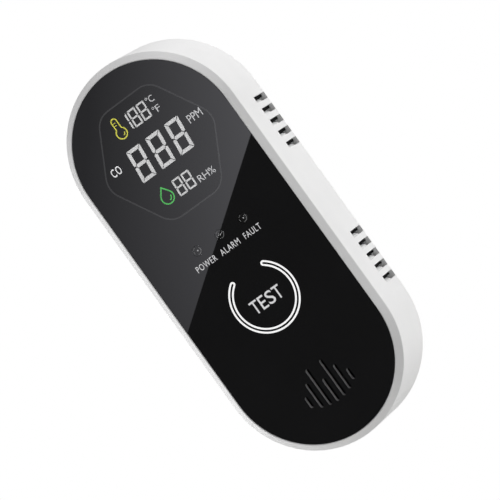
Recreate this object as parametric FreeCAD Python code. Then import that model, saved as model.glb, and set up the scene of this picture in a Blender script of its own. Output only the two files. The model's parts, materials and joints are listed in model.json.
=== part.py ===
import FreeCAD, Part
import math
import os

from FreeCAD import Vector

# Wall-hung carbon monoxide detector, millimetres.
# +Z is up, the front faces -Y, and the wall plane is Y = 0. The origin is the centre of the
# back face. The outline is a pill: straight sides joined by a half circle at each end.

# Outline and depth
ARC_CENTRE = 36.1        # height of each end arc's centre above or below the origin
DEPTH = 25.3             # bezel lip to wall
R_BACK = 27.4            # end radius at the back
R_FRONT = 27.1           # end radius where the bevel starts
R_LIP_OUTER = 25.25      # outer edge of the flat lip round the panel
R_LIP_INNER = 25.0       # inner edge of that lip
BEVEL_DEPTH = 1.75
BEVEL_ROUND = 0.35
BACK_ROUND = 1.0
WALL = 1.8

# Front stack, by distance from the wall plane
Y_FRONT = -DEPTH
Y_PANEL = Y_FRONT + 0.15         # panel face, just below the lip
PANEL_THICK = 1.5
Y_PANEL_BACK = Y_PANEL + PANEL_THICK
ADHESIVE = 0.15
Y_LEDGE = Y_PANEL_BACK + ADHESIVE
FRONT_WALL = 1.6
Y_INSIDE = Y_LEDGE + FRONT_WALL
BOARD_GAP = 5.3                  # front wall to board
Y_BOARD = Y_INSIDE + BOARD_GAP
BOARD_THICK = 1.6
Y_BOARD_BACK = Y_BOARD + BOARD_THICK
COVER_THICK = 1.6
Y_COVER = -COVER_THICK

R_PANEL = 24.85
R_BOARD = 23.9
R_COVER = 25.35
BOARD_HALF_LENGTH = 51.0

# Display
DISPLAY_Z = 34.6
WINDOW_HALF_HEIGHT = 18.0
WINDOW_HALF_FLAT = 9.1
WINDOW_HALF_WIDTH = 19.4
WINDOW_ROUND = 6.0
WINDOW_GAP = 0.03                # all round the smoked insert
LCD_HALF_WIDTH = 18.0
LCD_HALF_HEIGHT = 16.0
LCD_THICK = 1.8
LCD_GAP = 0.3
BACKLIGHT_THICK = 3.0
ZEBRA_WIDTH = 1.8

# Lamps
LAMP_Z = 6.2
LAMP_PITCH = 8.3
LAMP_HOLE_R = 1.55
LAMP_R = 1.45
LAMP_FLANGE_R = 1.65
LAMP_FLANGE = 1.0
LAMP_RECESS = 0.95               # dome tip below the panel face
LAMP_HOLDER = 2.0

# Test button: a round tab that bends about a line between the ends of its slot
BUTTON_Z = -15.2
BUTTON_SLOT_R = 9.63
BUTTON_SLOT = 0.35
BUTTON_BRIDGE_ANGLE = 35.0       # each slot end, from straight up
BUTTON_WALL_R = 9.9
BUTTON_POST_R = 1.6
BUTTON_TIP_R = 0.7
BUTTON_TIP = 0.3
BUTTON_BEND_Z = BUTTON_Z + BUTTON_SLOT_R * math.cos(math.radians(BUTTON_BRIDGE_ANGLE))

# Test switch
SWITCH_HALF = 3.0
SWITCH_HEIGHT = 3.5
PLUNGER_R = 1.7
PLUNGER_BORE_R = 1.78
PLUNGER_PROUD = 1.5
PLUNGER_DEEP = 0.7
PLUNGER_BORE_DEEP = 1.2
PLUNGER_GAP = 0.05

# Sounder
GRILLE_Z = -44.6
GRILLE_PITCH = 2.49
GRILLE_HALF_SLOT = 0.55
# bottom and top of the slots, from the middle one outwards
GRILLE_SLOTS = [(-50.8, -43.3), (-50.5, -38.5), (-49.8, -41.8), (-48.3, -44.8)]
GRILLE_HOLE_R = 9.4
MESH_R = 9.3
MESH_THICK = 0.4
BUZZER_Z = -44.0
BUZZER_R = 12.0
BUZZER_WALL = 0.9
BUZZER_PORT_R = 2.2
GASKET_THICK = 0.3
PIEZO_R = 10.9
PIEZO_THICK = 0.25
CERAMIC_R = 7.5
CERAMIC_THICK = 0.2
PIEZO_Y = Y_BOARD - 2.2

# Side vents
VENT_GROUP_Z = 23.2
VENT_COUNT = 5
VENT_PITCH = 3.87
VENT_HEIGHT = 2.1
VENT_FRONT = Y_FRONT + 13.75
VENT_BACK = Y_FRONT + 24.3
VENT_ROUND = 0.2

# Batteries: three AAA cells side by side, long way up
CELL_R = 5.25
CELL_LENGTH = 44.5
CELL_NUB_R = 1.9
CELL_NUB = 0.8
CELL_PITCH = 11.1
CELL_Y = -7.45
HOLDER_HALF_WIDTH = 17.75
HOLDER_TOP = -1.5
HOLDER_BOTTOM = -53.0
HOLDER_WALL = 1.0
HOLDER_BACK = -3.6
HOLDER_FLOOR = -13.2
CONTACT_THICK = 0.3
CONTACT_HALF = 3.6
CONTACT_TOP = HOLDER_TOP - HOLDER_WALL - CONTACT_THICK       # lower face of the upper contacts
CONTACT_BOTTOM = HOLDER_BOTTOM + HOLDER_WALL + CONTACT_THICK
SPRING_THICK = 0.35
SPRING_FOOT = 3.0
SPRING_HALF_WIDTH = 2.5
LEAD_R = 0.6
LEAD_BEND = 2.0

# Back cover
COVER_SCREWS = [(-9.0, 55.0), (9.0, 55.0), (-21.2, -42.0), (21.2, -42.0)]
COVER_CUP = 3.0                  # screw cup depth inside the cover
CUP_R = 3.1
CUP_BORE_R = 2.5
CUP_FLOOR = 1.2
SCREW_HOLE_R = 1.2
SCREW_R = 1.0
SCREW_HEAD_R = 2.1
SCREW_HEAD = 1.4
SCREW_LENGTH = 8.0
BOSS_R = 2.4
PILOT_R = 1.0
BOARD_POSTS = [(-20.8, 14.0), (20.8, 14.0), (-20.8, -28.0), (20.8, -28.0)]
POST_R = 2.5
BOARD_SCREW_LENGTH = 4.5

# Keyholes: a round entry with a narrow slot above it, over a closed pocket
KEYHOLE_Z = [8.0, 46.0]
KEYHOLE_ENTRY_R = 4.0
KEYHOLE_SLOT_R = 2.0
KEYHOLE_RISE = 6.0
POCKET_HALF_WIDTH = 5.5
POCKET_WALL = 1.0
POCKET_DEPTH = 4.4
POCKET_MARGIN = 5.0

# Battery door
DOOR_HALF_WIDTH = 16.9
DOOR_TOP = -2.6
DOOR_BOTTOM = -51.9
DOOR_GAP = 0.3
DOOR_OUTER = -0.2
DOOR_THICK = 1.4
DOOR_ROUND = 1.5
HOOK_X = 5.55
HOOK_HALF_WIDTH = 1.5
HOOK_THICK = 0.8
HOOK_DROP = 0.5
HOOK_REACH = 1.65
LATCH_HALF_WIDTH = 5.0
LATCH_SLOT = 0.8
LATCH_LENGTH = 7.0
LATCH_GRIPS = 3

# Gas sensor and the parts soldered to the back of the board
SENSOR_X = 13.0
SENSOR_Z = 28.0
SENSOR_R = 7.5
SENSOR_HEIGHT = 10.4
SENSOR_CAP_R = 6.4
SENSOR_CAP = 1.2
SENSOR_PORT_R = 1.5
PIN_R = 0.5
PIN_CIRCLE_R = 4.0


def rounded_wire(corners, place):
    """Closed wire through (u, v, radius) corners; place(u, v) gives the point in space."""
    points = [Vector(u, v, 0) for u, v, radius in corners]
    joins = []
    for i, corner in enumerate(points):
        radius = corners[i][2]
        before = points[i - 1] - corner
        after = points[(i + 1) % len(points)] - corner
        before = before * (1 / before.Length)
        after = after * (1 / after.Length)
        if radius == 0:
            joins.append((corner, corner, corner))
            continue
        half = math.acos(before.x * after.x + before.y * after.y) / 2
        reach = radius / math.tan(half)
        inward = before + after
        inward = inward * (1 / inward.Length)
        middle = corner + inward * (radius / math.sin(half) - radius)
        joins.append((corner + before * reach, middle, corner + after * reach))
    edges = []
    for i, (start, middle, end) in enumerate(joins):
        last = joins[i - 1][2]
        if (start - last).Length > 1e-6:
            edges.append(Part.makeLine(place(last.x, last.y), place(start.x, start.y)))
        if (end - start).Length > 1e-6:
            arc = Part.Arc(place(start.x, start.y), place(middle.x, middle.y), place(end.x, end.y))
            edges.append(arc.toShape())
    return Part.Wire(edges)


def plate(corners, y_front, y_back):
    """Flat piece facing Y, with rounded (x, z, radius) corners."""
    wire = rounded_wire(corners, lambda x, z: Vector(x, y_front, z))
    return Part.Face(wire).extrude(Vector(0, y_back - y_front, 0))


def pill(radius, y_front, y_back):
    """Pill-shaped plate whose end arcs have this radius."""
    tip = ARC_CENTRE + radius
    corners = [(radius, -tip, radius), (radius, tip, radius)]
    corners += [(-radius, tip, radius), (-radius, -tip, radius)]
    return plate(corners, y_front, y_back)


def pill_of_profile(profile):
    """Pill-shaped solid with (radius, y, rounding) as its half section, from the middle out."""
    wire = rounded_wire(profile, lambda r, y: Vector(r, y, -ARC_CENTRE))
    half = Part.Face(wire)
    mirrored = half.mirror(Vector(0, 0, 0), Vector(1, 0, 0))
    along = Vector(0, 0, 2 * ARC_CENTRE)
    lower_end = half.revolve(Vector(0, 0, -ARC_CENTRE), Vector(0, 1, 0), 180)
    upper_end = lower_end.mirror(Vector(0, 0, 0), Vector(0, 0, 1))
    body = half.extrude(along).fuse([mirrored.extrude(along), lower_end, upper_end])
    return body.removeSplitter()


def rectangle(x, z, half_width, half_height, rounding):
    return [(x + half_width, z - half_height, rounding), (x + half_width, z + half_height, rounding),
            (x - half_width, z + half_height, rounding), (x - half_width, z - half_height, rounding)]


def slab(x, z, half_width, half_height, y_front, y_back, rounding=0):
    """Rectangular block centred on (x, z), with its upright edges rounded."""
    return plate(rectangle(x, z, half_width, half_height, rounding), y_front, y_back)


def rod(x, z, radius, y_front, y_back):
    """Round bar along Y."""
    return Part.makeCylinder(radius, y_back - y_front, Vector(x, y_front, z), Vector(0, 1, 0))


def upright_rod(x, y, radius, z_low, z_high):
    """Round bar along Z."""
    return Part.makeCylinder(radius, z_high - z_low, Vector(x, y, z_low))


def joined(shape, others):
    return shape.fuse(others).removeSplitter()


def save(node, *solids):
    """Write one node: its own solid, or a group of separate solids."""
    shape = solids[0] if len(solids) == 1 else Part.makeCompound(list(solids))
    shape.exportStep("parts/" + node + ".step")


def window_outline(grow=0):
    """Hexagon with points left and right and flat top and bottom."""
    side = WINDOW_HALF_WIDTH + grow
    flat = WINDOW_HALF_FLAT + grow / 2
    top = DISPLAY_Z + WINDOW_HALF_HEIGHT + grow
    bottom = DISPLAY_Z - WINDOW_HALF_HEIGHT - grow
    points = [(flat, bottom), (side, DISPLAY_Z), (flat, top)]
    points += [(-flat, top), (-side, DISPLAY_Z), (-flat, bottom)]
    return [(x, z, WINDOW_ROUND) for x, z in points]


def below_bend(radius, y_front, y_back):
    """Disc round the test button's centre, cut off straight at the bending line."""
    disc = rod(0, BUTTON_Z, radius, y_front, y_back)
    height = radius + 1
    keep = slab(0, BUTTON_BEND_Z - height, height, height, y_front, y_back)
    return disc.common(keep)


def lamp_places():
    return [(-LAMP_PITCH, LAMP_Z), (0, LAMP_Z), (LAMP_PITCH, LAMP_Z)]


def grille_slots():
    """(x, z, half height) of each grille slot, the outer ones in pairs."""
    slots = []
    for i, (low, high) in enumerate(GRILLE_SLOTS):
        for x in {i * GRILLE_PITCH, -i * GRILLE_PITCH}:
            slots.append((x, (low + high) / 2, (high - low) / 2))
    return sorted(slots)


def vent_slots(side):
    """Cutters for the ten side vents; side is 1 for +X and -1 for -X."""
    cutters = []
    middle_y = (VENT_FRONT + VENT_BACK) / 2
    half_y = (VENT_BACK - VENT_FRONT) / 2
    for group in (-VENT_GROUP_Z, VENT_GROUP_Z):
        for i in range(VENT_COUNT):
            z = group + (i - (VENT_COUNT - 1) / 2) * VENT_PITCH
            corners = rectangle(middle_y, z, half_y, VENT_HEIGHT / 2, VENT_ROUND)
            start = side * (R_BACK + 1)
            wire = rounded_wire(corners, lambda y, height: Vector(start, y, height))
            cutters.append(Part.Face(wire).extrude(Vector(-side * (WALL + 2), 0, 0)))
    return cutters


def front_housing():
    """White shell: side wall, bevel, front wall behind the panel, posts and bosses."""
    outer = pill_of_profile([(0, Y_FRONT, 0), (R_LIP_OUTER, Y_FRONT, 0),
                             (R_FRONT, Y_FRONT + BEVEL_DEPTH, BEVEL_ROUND),
                             (R_BACK, 0, BACK_ROUND), (0, 0, 0)])
    cavity = pill_of_profile([(0, Y_INSIDE, 0), (R_FRONT - WALL, Y_INSIDE, 0),
                              (R_BACK - WALL, 0, 0), (0, 0, 0)])
    seat = pill(R_LIP_INNER, Y_FRONT, Y_LEDGE)
    lcd_hole = slab(0, DISPLAY_Z, LCD_HALF_WIDTH + LCD_GAP, LCD_HALF_HEIGHT + LCD_GAP,
                    Y_LEDGE, Y_INSIDE)
    cuts = [cavity, seat, lcd_hole, below_bend(BUTTON_WALL_R, Y_LEDGE, Y_INSIDE)]
    cuts.append(rod(0, GRILLE_Z, GRILLE_HOLE_R, Y_LEDGE, Y_INSIDE))
    for x, z in lamp_places():
        cuts.append(rod(x, z, LAMP_FLANGE_R + 0.1, Y_LEDGE, Y_INSIDE))
    shell = outer.cut(cuts + vent_slots(1) + vent_slots(-1))
    bosses = [rod(x, z, BOSS_R, Y_INSIDE, Y_COVER - COVER_CUP) for x, z in COVER_SCREWS]
    posts = [rod(x, z, POST_R, Y_INSIDE, Y_BOARD) for x, z in BOARD_POSTS]
    pilots = [rod(x, z, PILOT_R, Y_COVER - COVER_CUP - SCREW_LENGTH, Y_COVER - COVER_CUP)
              for x, z in COVER_SCREWS]
    pilots += [rod(x, z, PILOT_R, Y_BOARD - BOARD_SCREW_LENGTH, Y_BOARD) for x, z in BOARD_POSTS]
    save("front_housing", joined(shell, bosses + posts).cut(pilots))


def front_panel():
    """Gloss sheet with the window, lamp, key and grille openings, and the key itself."""
    sheet = pill(R_PANEL, Y_PANEL, Y_PANEL_BACK)
    cuts = [plate(window_outline(), Y_PANEL, Y_PANEL_BACK)]
    cuts.append(below_bend(BUTTON_SLOT_R + BUTTON_SLOT / 2, Y_PANEL, Y_PANEL_BACK))
    for x, z in lamp_places():
        cuts.append(rod(x, z, LAMP_HOLE_R, Y_PANEL, Y_PANEL_BACK))
    for x, z, half in grille_slots():
        cuts.append(slab(x, z, GRILLE_HALF_SLOT, half, Y_PANEL, Y_PANEL_BACK,
                         GRILLE_HALF_SLOT - 0.01))
    save("front_panel", sheet.cut(cuts))
    save("display_window", plate(window_outline(-WINDOW_GAP), Y_PANEL, Y_PANEL_BACK))

    tab = below_bend(BUTTON_SLOT_R - BUTTON_SLOT / 2, Y_PANEL, Y_PANEL_BACK)
    tip_y = Y_BOARD - SWITCH_HEIGHT - PLUNGER_PROUD - PLUNGER_GAP
    post = rod(0, BUTTON_Z, BUTTON_POST_R, Y_PANEL_BACK, tip_y - BUTTON_TIP)
    tip = Part.makeCone(BUTTON_POST_R, BUTTON_TIP_R, BUTTON_TIP,
                        Vector(0, tip_y - BUTTON_TIP, BUTTON_Z), Vector(0, 1, 0))
    save("test_button", joined(tab, [post, tip]))


def panel_adhesive():
    """Thin adhesive sheet between the panel and the housing's ledge."""
    sheet = pill(R_PANEL, Y_PANEL_BACK, Y_LEDGE)
    cuts = [slab(0, DISPLAY_Z, LCD_HALF_WIDTH + LCD_GAP, LCD_HALF_HEIGHT + LCD_GAP,
                 Y_PANEL_BACK, Y_LEDGE)]
    cuts.append(below_bend(BUTTON_WALL_R, Y_PANEL_BACK, Y_LEDGE))
    cuts.append(rod(0, GRILLE_Z, GRILLE_HOLE_R, Y_PANEL_BACK, Y_LEDGE))
    for x, z in lamp_places():
        cuts.append(rod(x, z, LAMP_FLANGE_R, Y_PANEL_BACK, Y_LEDGE))
    save("panel_adhesive", sheet.cut(cuts))


def display():
    """Glass cell in the front wall's opening, and what carries it on the board."""
    glass_back = Y_LEDGE + LCD_THICK
    save("lcd_glass", slab(0, DISPLAY_Z, LCD_HALF_WIDTH, LCD_HALF_HEIGHT, Y_LEDGE, glass_back))
    frame_y = max(glass_back, Y_INSIDE)
    outer = slab(0, DISPLAY_Z, LCD_HALF_WIDTH + 1, LCD_HALF_HEIGHT + 1, frame_y, Y_BOARD, 1)
    inner = slab(0, DISPLAY_Z, LCD_HALF_WIDTH - 0.4, LCD_HALF_HEIGHT - 0.4, frame_y, Y_BOARD)
    save("lcd_frame", outer.cut(inner))
    zebra_bottom = DISPLAY_Z - LCD_HALF_HEIGHT + 0.6
    save("zebra_strip", slab(0, zebra_bottom + ZEBRA_WIDTH / 2, LCD_HALF_WIDTH - 1.5,
                             ZEBRA_WIDTH / 2, glass_back, Y_BOARD))
    light_low = zebra_bottom + ZEBRA_WIDTH + 0.3
    light_high = DISPLAY_Z + LCD_HALF_HEIGHT - 0.6
    save("lcd_backlight", slab(0, (light_low + light_high) / 2, LCD_HALF_WIDTH - 0.6,
                               (light_high - light_low) / 2, glass_back,
                               glass_back + BACKLIGHT_THICK))


def lamps():
    """Three clear domed lamps on a spacer, with their leads through the board."""
    base = Y_BOARD - LAMP_HOLDER
    dome_centre = Y_PANEL + LAMP_RECESS + LAMP_R
    names = ["power_lamp", "alarm_lamp", "fault_lamp"]
    holder = slab(0, LAMP_Z, LAMP_PITCH + 3.2, 2.3, base, Y_BOARD, 0.6)
    leads = []
    for name, (x, z) in zip(names, lamp_places()):
        flange = rod(x, z, LAMP_FLANGE_R, base - LAMP_FLANGE, base)
        barrel = rod(x, z, LAMP_R, dome_centre, base - LAMP_FLANGE)
        dome = Part.makeSphere(LAMP_R, Vector(x, dome_centre, z))
        save(name, joined(flange, [barrel, dome]))
        for side in (-1.27, 1.27):
            leads.append(slab(x + side, z, 0.25, 0.25, base, Y_BOARD_BACK + 1.5))
    holder_holes = [slab(x + side, z, 0.3, 0.3, base, Y_BOARD)
                    for x, z in lamp_places() for side in (-1.27, 1.27)]
    save("lamp_holder", holder.cut(holder_holes))
    save("lamp_leads", *leads)


def main_board():
    """Circuit board with holes for its screws, the cover's bosses and every lead."""
    board = pill(R_BOARD, Y_BOARD, Y_BOARD_BACK)
    board = board.common(slab(0, 0, R_BACK, BOARD_HALF_LENGTH, Y_BOARD, Y_BOARD_BACK))
    cuts = [rod(x, z, BOSS_R + 0.5, Y_BOARD, Y_BOARD_BACK) for x, z in COVER_SCREWS]
    cuts += [rod(x, z, SCREW_R + 0.2, Y_BOARD, Y_BOARD_BACK) for x, z in BOARD_POSTS]
    for x, z in lamp_places():
        cuts += [slab(x + side, z, 0.3, 0.3, Y_BOARD, Y_BOARD_BACK) for side in (-1.27, 1.27)]
    cuts += [rod(x, z, PIN_R + 0.1, Y_BOARD, Y_BOARD_BACK) for x, z in sensor_pin_places()]
    cuts += [slab(x, z, 0.45, 0.25, Y_BOARD, Y_BOARD_BACK) for x, z in switch_pin_places()]
    save("main_board", board.cut(cuts))


def switch_pin_places():
    return [(x, BUTTON_Z + z) for x in (-SWITCH_HALF - 0.2, SWITCH_HALF + 0.2) for z in (-2.25, 2.25)]


def sensor_pin_places():
    places = []
    for degrees in (90, 210, 330):
        turn = math.radians(degrees)
        places.append((SENSOR_X + PIN_CIRCLE_R * math.cos(turn),
                       SENSOR_Z + PIN_CIRCLE_R * math.sin(turn)))
    return places


def test_switch():
    """Small push switch under the test button."""
    top = Y_BOARD - SWITCH_HEIGHT
    body = slab(0, BUTTON_Z, SWITCH_HALF, SWITCH_HALF, top, Y_BOARD, 0.3)
    bore = rod(0, BUTTON_Z, PLUNGER_BORE_R, top, top + PLUNGER_BORE_DEEP)
    save("test_switch_body", body.cut(bore))
    save("test_switch_plunger",
         rod(0, BUTTON_Z, PLUNGER_R, top - PLUNGER_PROUD, top + PLUNGER_DEEP))
    pins = []
    for x, z in switch_pin_places():
        pins.append(slab(x, z, 0.2, 0.2, Y_BOARD - 1.0, Y_BOARD_BACK + 0.5))
    save("test_switch_pins", *pins)


def sounder():
    """Piezo sounder on the board, sealed to the front wall, and the mesh behind the grille."""
    save("grille_mesh", rod(0, GRILLE_Z, MESH_R, Y_PANEL_BACK, Y_PANEL_BACK + MESH_THICK))
    front = Y_INSIDE + GASKET_THICK
    gasket = rod(0, BUZZER_Z, BUZZER_R, Y_INSIDE, front)
    save("buzzer_gasket", gasket.cut(rod(0, BUZZER_Z, GRILLE_HOLE_R + 0.8, Y_INSIDE, front)))
    case = rod(0, BUZZER_Z, BUZZER_R, front, Y_BOARD)
    ledge_r = PIEZO_R - 1.2
    case = case.cut([rod(0, BUZZER_Z, BUZZER_PORT_R, front, front + BUZZER_WALL),
                     rod(0, BUZZER_Z, ledge_r, front + BUZZER_WALL, PIEZO_Y),
                     rod(0, BUZZER_Z, BUZZER_R - BUZZER_WALL, PIEZO_Y, Y_BOARD)])
    save("buzzer_case", case)
    save("piezo_disc", rod(0, BUZZER_Z, PIEZO_R, PIEZO_Y, PIEZO_Y + PIEZO_THICK))
    ceramic_y = PIEZO_Y + PIEZO_THICK
    save("piezo_ceramic", rod(0, BUZZER_Z, CERAMIC_R, ceramic_y, ceramic_y + CERAMIC_THICK))


def gas_sensor():
    """Electrochemical cell: steel can, cap with a gas port, three pins."""
    can_back = Y_BOARD_BACK + SENSOR_HEIGHT
    can = rod(SENSOR_X, SENSOR_Z, SENSOR_R, Y_BOARD_BACK, can_back)
    rims = [edge for edge in can.Edges if edge.isClosed()]
    save("gas_sensor_can", can.makeFillet(0.6, rims))
    cap = rod(SENSOR_X, SENSOR_Z, SENSOR_CAP_R, can_back, can_back + SENSOR_CAP)
    port = rod(SENSOR_X, SENSOR_Z, SENSOR_PORT_R, can_back, can_back + SENSOR_CAP)
    save("gas_sensor_cap", cap.cut(port))
    pins = [rod(x, z, PIN_R, Y_BOARD - 1.5, Y_BOARD_BACK) for x, z in sensor_pin_places()]
    save("gas_sensor_pins", *pins)


def board_parts():
    """Chips, capacitors and resistors on the back of the board."""
    y = Y_BOARD_BACK
    chip = slab(-11, 34, 5, 5, y + 0.1, y + 1.5, 0.3)
    save("microcontroller", chip)
    legs = []
    for i in range(8):
        along = (i - 3.5) * 1.1
        for x, z, wide, high in ((-11 + along, 34 - 5.6, 0.2, 0.6), (-11 + along, 34 + 5.6, 0.2, 0.6),
                                 (-11 - 5.6, 34 + along, 0.6, 0.2), (-11 + 5.6, 34 + along, 0.6, 0.2)):
            legs.append(slab(x, z, wide, high, y, y + 0.5))
    save("microcontroller_legs", *legs)
    save("amplifier_chip", slab(14, 14.5, 2.5, 2, y, y + 1.5, 0.2))
    climate = slab(-21, 24, 1.8, 1.8, y, y + 1.2, 0.2)
    save("climate_sensor", climate.cut(rod(-21, 24, 0.6, y + 0.6, y + 1.2)))
    capacitors = [rod(x, z, 2.5, y, y + 6) for x, z in ((-13, 9), (-11, 46), (13, 43))]
    save("board_capacitors", *capacitors)
    resistors = [slab(-20.5 + 2.6 * i, 19, 0.8, 0.45, y, y + 0.5) for i in range(5)]
    resistors += [slab(9 + 2.6 * i, 38.5, 0.8, 0.45, y, y + 0.5) for i in range(4)]
    save("board_resistors", *resistors)


def pan_screw(x, z, seat_y, length):
    """Self-tapping screw driven towards the front, with a cross recess in its head."""
    head = rod(x, z, SCREW_HEAD_R, seat_y, seat_y + SCREW_HEAD)
    rim = [edge for edge in head.Edges
           if edge.isClosed() and edge.CenterOfMass.y > seat_y + SCREW_HEAD / 2]
    head = head.makeFillet(0.5, rim)
    top = seat_y + SCREW_HEAD
    cross = [slab(x, z, 1.3, 0.28, top - 0.8, top), slab(x, z, 0.28, 1.3, top - 0.8, top)]
    return head.fuse(rod(x, z, SCREW_R, seat_y - length, seat_y)).removeSplitter().cut(cross)


def screws():
    """Four screws hold the cover on the housing and four hold the board."""
    cup_floor = Y_COVER - COVER_CUP + CUP_FLOOR
    reach = SCREW_LENGTH + CUP_FLOOR - 0.5
    save("cover_screws", *[pan_screw(x, z, cup_floor, reach) for x, z in COVER_SCREWS])
    reach = BOARD_SCREW_LENGTH + BOARD_THICK - 0.5
    save("board_screws", *[pan_screw(x, z, Y_BOARD_BACK, reach) for x, z in BOARD_POSTS])


def cell_places():
    """(x, lowest z, whether the positive end is up) of each cell; that end meets its contact."""
    up = CONTACT_TOP - CELL_LENGTH
    return [(-CELL_PITCH, up, True), (0, CONTACT_BOTTOM, False), (CELL_PITCH, up, True)]


def battery_cells():
    for number, (x, low, nub_up) in enumerate(cell_places(), 1):
        body_low = low if nub_up else low + CELL_NUB
        body_high = body_low + CELL_LENGTH - CELL_NUB
        body = upright_rod(x, CELL_Y, CELL_R, body_low, body_high)
        body = body.makeFillet(0.5, [edge for edge in body.Edges if edge.isClosed()])
        nub_low = body_high if nub_up else low
        nub = upright_rod(x, CELL_Y, CELL_NUB_R, nub_low, nub_low + CELL_NUB)
        save("battery_cell_" + str(number), joined(body, [nub]))


def bow_spring(x, z_plate, z_cell):
    """Contact spring: a strip bent into a bow, its feet on a contact plate, its crest on a cell."""
    rise = z_cell - z_plate
    inward = math.copysign(SPRING_THICK, rise)
    left = x - SPRING_HALF_WIDTH
    points = [Vector(left, CELL_Y - SPRING_FOOT, z_plate), Vector(left, CELL_Y, z_cell),
              Vector(left, CELL_Y + SPRING_FOOT, z_plate)]
    inner_foot = SPRING_FOOT - SPRING_THICK
    inner = [Vector(left, CELL_Y + inner_foot, z_plate), Vector(left, CELL_Y, z_cell - inward),
             Vector(left, CELL_Y - inner_foot, z_plate)]
    wire = Part.Wire([Part.Arc(*points).toShape(), Part.makeLine(points[2], inner[0]),
                      Part.Arc(*inner).toShape(), Part.makeLine(inner[2], points[0])])
    return Part.Face(wire).extrude(Vector(2 * SPRING_HALF_WIDTH, 0, 0))


def battery_holder():
    """Moulded tray with three bays, the contacts at its ends and the leads to the board."""
    middle_z = (HOLDER_TOP + HOLDER_BOTTOM) / 2
    half_z = (HOLDER_TOP - HOLDER_BOTTOM) / 2
    block = slab(0, middle_z, HOLDER_HALF_WIDTH, half_z, HOLDER_FLOOR - HOLDER_WALL, HOLDER_BACK, 0.8)
    room = slab(0, middle_z, HOLDER_HALF_WIDTH - HOLDER_WALL, half_z - HOLDER_WALL,
                HOLDER_FLOOR, HOLDER_BACK)
    ribs = []
    for x in (-CELL_PITCH / 2, CELL_PITCH / 2):
        ribs.append(slab(x, middle_z, 0.4, half_z - HOLDER_WALL, HOLDER_FLOOR, CELL_Y - 2.6))
    save("battery_holder", joined(block.cut(room), ribs))

    plates = []
    springs = []
    for x, low, nub_up in cell_places():
        for z in (CONTACT_TOP + CONTACT_THICK / 2, CONTACT_BOTTOM - CONTACT_THICK / 2):
            plates.append(slab(x, z, CONTACT_HALF, CONTACT_THICK / 2, CELL_Y - 4, CELL_Y + 3.2))
        if nub_up:
            springs.append(bow_spring(x, CONTACT_BOTTOM, low))
        else:
            springs.append(bow_spring(x, CONTACT_TOP, low + CELL_LENGTH))
    save("battery_contacts", *plates)
    save("battery_springs", *springs)


def battery_leads():
    """Insulated leads from the tray's top wall, bent forward to the board."""
    for name, x in (("battery_lead_red", -13.5), ("battery_lead_black", 13.5)):
        y = CELL_Y - 1
        turn_z = HOLDER_TOP + 0.6 + LEAD_BEND
        start = Vector(x, y, HOLDER_TOP)
        bend_start = Vector(x, y, turn_z - LEAD_BEND)
        bend_middle = Vector(x, y - LEAD_BEND * (1 - math.sqrt(0.5)),
                             turn_z - LEAD_BEND * (1 - math.sqrt(0.5)))
        bend_end = Vector(x, y - LEAD_BEND, turn_z)
        end = Vector(x, Y_BOARD_BACK, turn_z)
        path = Part.Wire([Part.makeLine(start, bend_start),
                          Part.Arc(bend_start, bend_middle, bend_end).toShape(),
                          Part.makeLine(bend_end, end)])
        section = Part.Wire(Part.makeCircle(LEAD_R, start, Vector(0, 0, 1)))
        save(name, path.makePipeShell([section], True, False))


def keyhole(z, y_front, y_back):
    """Cutter: round entry at height z and the narrow slot that rises from it."""
    entry = rod(0, z, KEYHOLE_ENTRY_R, y_front, y_back)
    slot = slab(0, z + KEYHOLE_RISE / 2, KEYHOLE_SLOT_R, KEYHOLE_RISE / 2, y_front, y_back)
    end = rod(0, z + KEYHOLE_RISE, KEYHOLE_SLOT_R, y_front, y_back)
    return entry.fuse([slot, end]).removeSplitter()


def back_cover():
    """Inset back plate: screw cups, keyholes over closed pockets, battery opening."""
    sheet = pill(R_COVER, Y_COVER, 0)
    cups = [rod(x, z, CUP_R, Y_COVER - COVER_CUP, Y_COVER) for x, z in COVER_SCREWS]
    pockets = []
    rooms = []
    for z in KEYHOLE_Z:
        middle = z + KEYHOLE_RISE / 2
        half = KEYHOLE_RISE / 2 + POCKET_MARGIN
        pockets.append(slab(0, middle, POCKET_HALF_WIDTH, half, Y_COVER - POCKET_DEPTH, Y_COVER, 1))
        rooms.append(slab(0, middle, POCKET_HALF_WIDTH - POCKET_WALL, half - POCKET_WALL,
                          Y_COVER - POCKET_DEPTH + POCKET_WALL, Y_COVER))
        rooms.append(keyhole(z, Y_COVER, 0))
    body = joined(sheet, cups + pockets)
    cuts = list(rooms)
    cuts += [rod(x, z, CUP_BORE_R, Y_COVER - COVER_CUP + CUP_FLOOR, 0) for x, z in COVER_SCREWS]
    cuts += [rod(x, z, SCREW_HOLE_R, Y_COVER - COVER_CUP, 0) for x, z in COVER_SCREWS]
    cuts.append(slab(0, (DOOR_TOP + DOOR_BOTTOM) / 2, DOOR_HALF_WIDTH + DOOR_GAP,
                     (DOOR_TOP - DOOR_BOTTOM) / 2 + DOOR_GAP, Y_COVER, 0, DOOR_ROUND + DOOR_GAP))
    save("back_cover", body.cut(cuts))


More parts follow.
